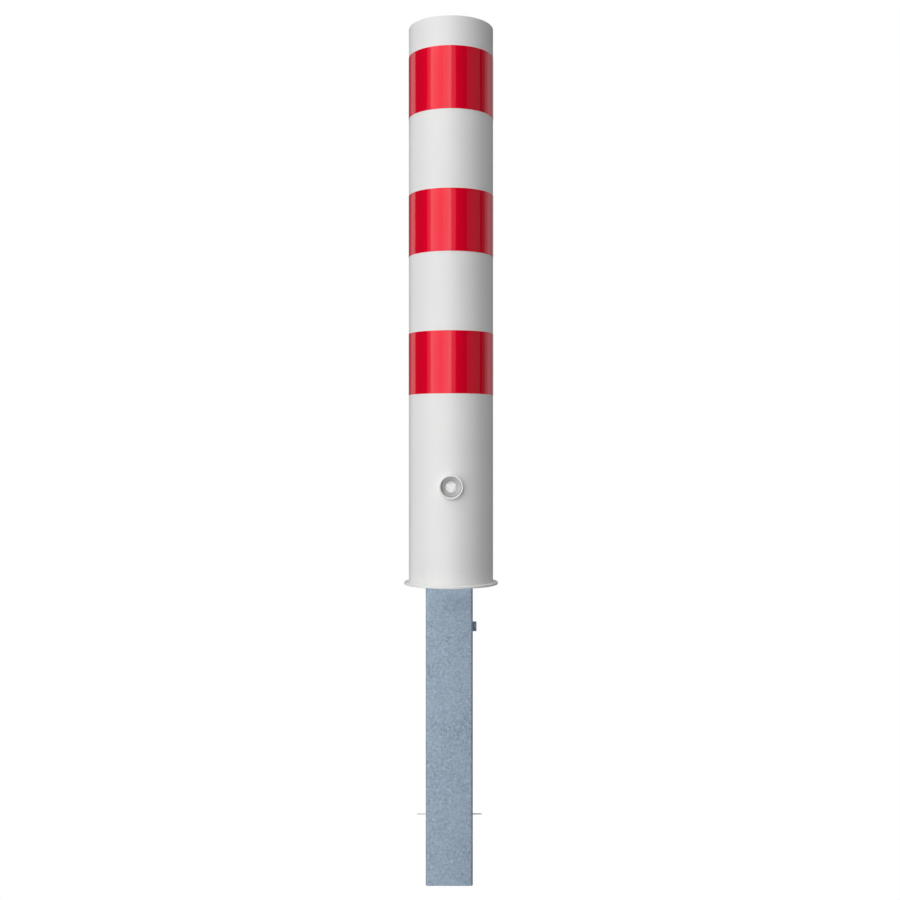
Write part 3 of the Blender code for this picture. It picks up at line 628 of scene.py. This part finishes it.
def build_cap():
    """The set-in lid, and the ground-down weld that closes the joint between it and the tube."""
    radius = TUBE_INSIDE - WELD_GAP
    edge = HEIGHT - CAP_SUNK
    under = edge - CAP_THICKNESS
    steps = 12
    profile = [(0, under), (radius, under)]
    for i in range(steps + 1):
        out = 1 - i / steps
        profile.append((radius * out, edge + CAP_DOME * (1 - out**2)))
    piece("cap_plate", lathe(profile, ROUND_SEGMENTS), WHITE, "bollard", ["top_cap"])
    path = level_circle(TUBE_INSIDE - WELD_LIFT, edge + WELD_LIFT)
    up = [(0, 0, 1)] * len(path)
    bm = bead(path, up, CAP_WELD_RADIUS, 3, ripple=0.05)
    piece("cap_weld", bm, WHITE, "bollard")


def build_flange():
    edge = 0.0007
    reach = 0.01
    profile = [(0, 0), (FLANGE_RADIUS - edge, 0)]
    profile += round_corner((FLANGE_RADIUS - edge, edge), edge, -90, 0, 4)
    profile += round_corner((FLANGE_RADIUS - edge, FLANGE_TOP - edge), edge, 0, 90, 4)
    profile += [(0, FLANGE_TOP)]
    bm = lathe(profile, ROUND_SEGMENTS)
    flange = piece("flange_disc", bm, WHITE, "bollard", ["base_flange"])
    window = prism(rounded_square(POST_HALF + WELD_GAP, POST_CORNER), -reach, reach)
    cut(flange, cutter(window))
    path = level_circle(TUBE_RADIUS, FLANGE_TOP + WELD_LIFT)
    out = [Vector((p.x, p.y, 0)).normalized() + Vector((0, 0, 1)) for p in path]
    bm = bead(path, out, FLANGE_WELD_RADIUS, 7, ripple=0.04)
    piece("flange_weld", bm, WHITE, "bollard")


def build_band(place):
    """One band of film with softened edges, whose ends overlap at the back."""
    low, high = (v.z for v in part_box(f"reflective_band_{place}"))
    edge = 0.00012
    section = [(0, low), (FILM_THICKNESS - edge, low), (FILM_THICKNESS, low + edge)]
    section += [(FILM_THICKNESS, high - edge), (FILM_THICKNESS - edge, high), (0, high)]
    bm = bmesh.new()
    steps = ROUND_SEGMENTS + 6
    sweep = 360 + FILM_OVERLAP_DEG
    rings = []
    for i in range(steps + 1):
        passed = sweep * i / steps
        over = max(0.0, min(1.0, (passed - 360 + FILM_STEP_DEG) / FILM_STEP_DEG))
        lift = (FILM_THICKNESS + FILM_GLUE) * over * over * (3 - 2 * over)
        turn = math.radians(FILM_SEAM_DEG + passed - 90)
        ring = []
        for depth, height in section:
            radius = FILM_INNER + lift + depth
            ring.append(bm.verts.new((radius * math.cos(turn), radius * math.sin(turn), height)))
        rings.append(ring)
    for a, b in zip(rings, rings[1:]):
        for k in range(len(a)):
            m = (k + 1) % len(a)
            bm.faces.new((a[k], a[m], b[m], b[k]))
    bm.faces.new(rings[0])
    bm.faces.new(rings[-1])
    piece(f"film_{place}", bm, RED, "bollard", [f"reflective_band_{place}"])


def build_collar():
    """The collar, and its weld along the curve where it meets the tube."""
    edge = 0.0006
    profile = [(COLLAR_INSIDE, COLLAR_BACK), (COLLAR_RADIUS, COLLAR_BACK)]
    profile += round_corner((COLLAR_RADIUS - edge, COLLAR_FRONT + edge), edge, 0, -90, 5)
    profile += round_corner((COLLAR_INSIDE + edge, COLLAR_FRONT + edge), edge, -90, -180, 5)
    bm = lathe(profile, COLLAR_SEGMENTS, "Y", (0, 0, LOCK_HEIGHT))
    piece("collar_ring", bm, WHITE, "bollard", ["lock_collar"])
    path = []
    out = []
    steps = 240
    for i in range(steps):
        turn = 2 * math.pi * i / steps
        x = (COLLAR_RADIUS + WELD_LIFT) * math.cos(turn)
        z = (COLLAR_RADIUS + WELD_LIFT) * math.sin(turn)
        path.append((x, -math.sqrt(TUBE_RADIUS**2 - x * x) + WELD_LIFT, LOCK_HEIGHT + z))
        out.append((math.cos(turn), -1, math.sin(turn)))
    bm = bead(path, out, COLLAR_WELD_RADIUS, 11, ripple=0.07)
    piece("collar_weld", bm, WHITE, "bollard")


def build_bush():
    """The lock body: floor of the key recess in front, and the spindle's bearing behind."""
    edge = 0.0004
    profile = [
        (SHANK_BORE, LOCK_BODY_FRONT + edge),
        (SHANK_BORE + edge, LOCK_BODY_FRONT),
        (LOCK_BODY_RADIUS - edge, LOCK_BODY_FRONT),
        (LOCK_BODY_RADIUS, LOCK_BODY_FRONT + edge),
        (LOCK_BODY_RADIUS, LOCK_BODY_BACK),
        (BUSH_RADIUS, LOCK_BODY_BACK),
        (BUSH_RADIUS, BUSH_BACK),
        (JOURNAL_BORE, BUSH_BACK),
        (JOURNAL_BORE, WASHER_SEAT),
        (SHANK_BORE, WASHER_SEAT),
    ]
    bm = lathe(profile, COLLAR_SEGMENTS, "Y", (0, 0, LOCK_HEIGHT))
    piece("lock_body", bm, WHITE, "bollard", ["spindle_bush"])


# ---- spindle ----------------------------------------------------------------------------------------
def build_spindle():
    """The turned spindle: three milled flats, the first one facing up, their root grooves, and a square."""
    low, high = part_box("lock_spindle")
    face = low.y
    edge = 0.0006
    tip = 0.0004
    profile = [
        (0, face),
        (SHANK_RADIUS - edge, face),
        (SHANK_RADIUS - edge / 3, face + edge / 3),
        (SHANK_RADIUS, face + edge),
        (SHANK_RADIUS, SHANK_BACK),
        (JOURNAL_RADIUS, SHANK_BACK),
        (JOURNAL_RADIUS, SQUARE_FRONT),
        (SQUARE_REACH, SQUARE_FRONT),
        (SQUARE_REACH, SQUARE_BACK),
        (THREAD_RADIUS, SQUARE_BACK),
        (THREAD_RADIUS, high.y - tip),
        (THREAD_RADIUS - tip, high.y),
        (0, high.y),
    ]
    centre = Vector((0, 0, LOCK_HEIGHT))
    bm = lathe(profile, MEDIUM_SEGMENTS, "Y", centre)
    # the spindle gets the brighter white, painted light against the recess's shade
    spindle = piece("spindle_turned", bm, LOCK_WHITE_PAINTED_LIGHT, "spindle", ["lock_spindle"])
    flats = []
    ahead = face - 0.002
    root = face + TRIANGLE_LENGTH
    groove_floor = TRIANGLE_INRADIUS + GROOVE_WIDTH
    # number of sides, distance of the near and the far side of each cut, first turn, start and end along Y
    sets = (
        (3, TRIANGLE_INRADIUS, FAR_OUT, 90, ahead, root),
        (3, TRIANGLE_INRADIUS, groove_floor, 90, root - GROOVE_WIDTH, root + GROOVE_DEPTH),
        (4, SQUARE_HALF, FAR_OUT, 0, SQUARE_FRONT, SQUARE_BACK),
    )
    for sides, inradius, reach, first_deg, start, end in sets:
        for i in range(sides):
            turn = math.radians(first_deg) + 2 * math.pi * i / sides
            out = Vector((math.cos(turn), math.sin(turn)))
            side = Vector((-out.y, out.x)) * FAR_OUT
            near = out * inradius
            far = out * reach
            corners = (near - side, far - side, far + side, near + side)
            flats.append(cutter(prism([tuple(c) for c in corners], start, end, "Y", centre)))
    cut(spindle, *flats)
    soften(spindle, 0.00018, 2, 35)


# ---- ground sleeve ----------------------------------------------------------------------------------
def build_sleeve():
    low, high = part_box("ground_sleeve")
    rings = 40
    bm = square_tube(SLEEVE_HALF, SLEEVE_WALL, SLEEVE_CORNER, low.z, high.z, rings, SLEEVE_X)
    sleeve = piece("sleeve_tube", bm, SLEEVE_ZINC, "ground_sleeve", ["ground_sleeve"])
    pin_hole = bar(SLEEVE_PIN_HOLE, IN_HOLLOW, IN_OPEN, HOLE_SEGMENTS, "X", (0, 0, PIN_HEIGHT))
    rod_radius = ANCHOR_RADIUS + WELD_GAP
    rod_hole = bar(rod_radius, -IN_OPEN, IN_OPEN, SMALL_SEGMENTS, "X", (0, 0, ANCHOR_HEIGHT))
    cut(sleeve, cutter(pin_hole), cutter(rod_hole))


def build_keeper():
    """The hexagonal keeper with its chamfered bore, and the weld round its foot."""
    low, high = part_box("pin_keeper")
    centre = (0, 0, PIN_HEIGHT)
    bm = prism(hexagon(KEEPER_FLATS), low.x, high.x, "X", centre)
    # the keeper gets the lightened zinc, painted light against the sleeve corner's shade
    keeper = piece("keeper_hex", bm, KEEPER_ZINC_PAINTED_LIGHT, "ground_sleeve", ["pin_keeper"])
    hole = bar(KEEPER_BORE, IN_HOLLOW, IN_OPEN, HOLE_SEGMENTS, "X", centre)
    flare = 0.002
    start = high.x - KEEPER_CHAMFER
    cone = [(0, start), (KEEPER_BORE, start), (KEEPER_BORE + flare, start + flare), (0, start + flare)]
    mouth = lathe(cone, HOLE_SEGMENTS, "X", centre)
    cut(keeper, cutter(hole), cutter(mouth))
    soften(keeper, 0.0005, 3, 28)
    foot = SLEEVE_X + SLEEVE_HALF + WELD_LIFT
    corners = [Vector((foot, a, b + PIN_HEIGHT)) for a, b in hexagon(KEEPER_FLATS)]
    path = []
    out = []
    steps = 24
    for a, b in zip(corners, corners[1:] + corners[:1]):
        for i in range(steps):
            point = a.lerp(b, i / steps)
            away = Vector((0, point.y, point.z - PIN_HEIGHT)).normalized()
            path.append(point + away * WELD_LIFT)
            out.append(away + Vector((1, 0, 0)))
    bm = bead(path, out, KEEPER_WELD_RADIUS, 19)
    # the keeper's weld shares the lightened zinc, painted light as well
    piece("keeper_weld", bm, KEEPER_ZINC_PAINTED_LIGHT, "ground_sleeve")


def build_anchor():
    low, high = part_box("anchor_pin")
    edge = 0.0002
    profile = [(0, low.x), (ANCHOR_RADIUS - edge, low.x), (ANCHOR_RADIUS, low.x + edge)]
    profile += [(ANCHOR_RADIUS, high.x - edge), (ANCHOR_RADIUS - edge, high.x), (0, high.x)]
    bm = lathe(profile, SMALL_SEGMENTS, "X", (0, 0, ANCHOR_HEIGHT))
    piece("anchor_rod", bm, ROD_ZINC, "ground_sleeve", ["anchor_pin"])


# ---- inner post -------------------------------------------------------------------------------------
def build_post():
    low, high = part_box("inner_post")
    rings = 50
    bm = square_tube(POST_HALF, POST_WALL, POST_CORNER, low.z, high.z, rings)
    post = piece("post_tube", bm, POST_ZINC, "bollard", ["inner_post"])
    # axis, radius, start and end along the axis, height
    holes = (
        ("Y", POST_SPINDLE_HOLE, -IN_OPEN, -IN_HOLLOW, LOCK_HEIGHT),
        ("Y", POST_PIVOT_HOLE, -IN_OPEN, IN_OPEN, PIVOT_HEIGHT),
        ("X", POST_PIN_HOLE, IN_HOLLOW, IN_OPEN, PIN_HEIGHT),
    )
    for axis, radius, start, end, height in holes:
        cut(post, cutter(bar(radius, start, end, HOLE_SEGMENTS, axis, (0, 0, height))))


# ---- CAD nodes that stay as they are, with better finishes ------------------------------------------
KEPT_FINISHES = {
    "centring_plate": POST_ZINC,
    "pin_guide_bush": BRONZE,
    "pivot_bolt": FASTENER,
    "pivot_nut": FASTENER,
    "pivot_washer_front": FASTENER,
    "pivot_washer_rear": FASTENER,
    "pivot_spacer_front": STEEL,
    "pivot_spacer_rear": STEEL,
    "spindle_spring_washer": STEEL,
    "crank_arm": FASTENER,
    "crank_pin": STEEL,
    "crank_nut": FASTENER,
    "latch_lever": FASTENER,
    "locking_pin": STEEL,
    "drive_pin": FASTENER,
    "drive_pin_clip": STEEL,
}


MERGE_DISTANCE = 0.00001
SPLIT_DEG = 32


def finish_kept_nodes():
    for name, finish in KEPT_FINISHES.items():
        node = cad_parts[name]
        node.data.materials.clear()
        node.data.materials.append(finish)
        node.data.shade_smooth()
        weld = node.modifiers.new("weld", "WELD")
        weld.merge_threshold = MERGE_DISTANCE
        split = node.modifiers.new("sharp", "EDGE_SPLIT")
        split.split_angle = math.radians(SPLIT_DEG)


# ---- floor, lights and camera -----------------------------------------------------------------------
LENS_MM = 47.14
SENSOR_MM = 36
CAMERA_PLACE = (-0.00175, -2.13, 0.2416)
FLOOR_RADIUS = 60.0
FLOOR_GAP = 0.0005
WORLD_LIGHT = 0.012
LIGHT_RADIUS = 2.7
LIGHT_LOW = -2.3
LIGHT_HIGH = 1.9
AIM_HEIGHT = 0.235
# name: azimuths of its two sides in degrees, radiance
LIGHTS = {
    "key_a": (-66, -56, 0.5),
    "key_b": (-56, -46, 2.05),
    "key_c": (-46, -34, 1.55),
    "key_d": (-34, -20, 1.25),
    "key_e": (-20, -9, 1.65),
    "key_f": (-9, 1, 2.1),
    "key_g": (1, 12, 0.6),
    "fill_a": (43, 56, 0.2),
    "fill_b": (56, 84, 0.25),
    "side_a": (92, 104, 0.15),
    "side_b": (104, 116, 0.55),
    "side_c": (116, 132, 0.7),
    "side_d": (132, 168, 0.35),
    "left_a": (-122, -112, 0.95),
    "left_b": (-136, -122, 0.75),
    "left_c": (-168, -136, 0.15),
}
# name: azimuth and elevation of its middle in degrees, distance, width and height in metres, radiance
HIGH_LIGHTS = {
    "high_left": (-58, 52, 6.0, 2.0, 2.4, 4.2),
    "high_middle": (-40, 32, 6.0, 1.6, 1.4, 3.2),
    "high_front": (-10, 40, 6.0, 2.0, 1.6, 5.2),
    "overhead": (0, 88, 5.0, 4.0, 4.0, 2.5),
}


def build_stage():
    """Pale floor under the sleeve's foot. Only the camera sees it, so it adds no light of its own."""
    floor_mesh = bpy.data.meshes.new("studio_floor")
    bm = bmesh.new()
    bmesh.ops.create_circle(bm, cap_ends=True, segments=MEDIUM_SEGMENTS, radius=FLOOR_RADIUS)
    bmesh.ops.translate(bm, verts=bm.verts, vec=(0, 0, cad_box[0].z - FLOOR_GAP))
    bm.to_mesh(floor_mesh)
    bm.free()
    floor = bpy.data.objects.new("studio_floor", floor_mesh)
    bpy.context.scene.collection.objects.link(floor)
    paint = bpy.data.materials.new("studio_floor_white")
    paint.use_nodes = True
    tree = paint.node_tree
    tree.nodes.clear()
    glow = tree.nodes.new("ShaderNodeEmission")
    glow.inputs["Strength"].default_value = 1.0
    tree.links.new(glow.outputs[0], tree.nodes.new("ShaderNodeOutputMaterial").inputs["Surface"])
    floor_mesh.materials.append(paint)
    floor.visible_diffuse = False
    floor.visible_glossy = False
    floor.visible_shadow = False


def build_world():
    """White for the camera, and a dim even light for the object."""
    world = bpy.data.worlds.new("studio")
    bpy.context.scene.world = world
    world.use_nodes = True
    tree = world.node_tree
    tree.nodes.clear()
    rays = tree.nodes.new("ShaderNodeLightPath")
    seen = tree.nodes.new("ShaderNodeBackground")
    seen.inputs[0].default_value = (1, 1, 1, 1)
    light = tree.nodes.new("ShaderNodeBackground")
    light.inputs[0].default_value = (1, 1, 1, 1)
    light.inputs[1].default_value = WORLD_LIGHT
    either = tree.nodes.new("ShaderNodeMixShader")
    tree.links.new(rays.outputs["Is Camera Ray"], either.inputs[0])
    tree.links.new(light.outputs[0], either.inputs[1])
    tree.links.new(seen.outputs[0], either.inputs[2])
    tree.links.new(either.outputs[0], tree.nodes.new("ShaderNodeOutputWorld").inputs[0])


def soft_light(name, out, distance, centre_z, width, height, radiance):
    """A rectangular light that faces the object's axis from the direction out."""
    lamp = bpy.data.lights.new(name, "AREA")
    lamp.shape = "RECTANGLE"
    lamp.size = width
    lamp.size_y = height
    lamp.energy = radiance * width * height * math.pi
    made = bpy.data.objects.new(name, lamp)
    made.location = Vector((0, 0, centre_z)) + out * distance
    made.rotation_euler = out.to_track_quat("Z", "Y").to_euler()
    made.visible_camera = False
    bpy.context.scene.collection.objects.link(made)


def build_lights():
    height = LIGHT_HIGH - LIGHT_LOW
    centre_z = (LIGHT_LOW + LIGHT_HIGH) / 2
    for name, (first, last, radiance) in LIGHTS.items():
        turn = math.radians((first + last) / 2)
        out = Vector((math.sin(turn), -math.cos(turn), 0))
        width = 2 * LIGHT_RADIUS * math.tan(math.radians((last - first) / 2))
        soft_light(name, out, LIGHT_RADIUS, centre_z, width, height, radiance)
    for name, (azimuth, elevation, distance, width, height, radiance) in HIGH_LIGHTS.items():
        a = math.radians(azimuth)
        e = math.radians(elevation)
        out = Vector((math.sin(a) * math.cos(e), -math.cos(a) * math.cos(e), math.sin(e)))
        soft_light(name, out, distance, AIM_HEIGHT, width, height, radiance)


def build_camera():
    data = bpy.data.cameras.new("camera")
    data.lens = LENS_MM
    data.sensor_width = SENSOR_MM
    data.clip_end = 100
    camera = bpy.data.objects.new("camera", data)
    camera.location = CAMERA_PLACE
    camera.rotation_euler = (math.pi / 2, 0, 0)
    bpy.context.scene.collection.objects.link(camera)
    bpy.context.scene.camera = camera
    bpy.context.scene.view_settings.view_transform = "Standard"


build_tube()
build_cap()
build_flange()
for band in ("top", "middle", "bottom"):
    build_band(band)
build_collar()
build_bush()
build_spindle()
build_sleeve()
build_keeper()
build_anchor()
build_post()
finish_kept_nodes()
build_stage()
build_world()
build_lights()
build_camera()
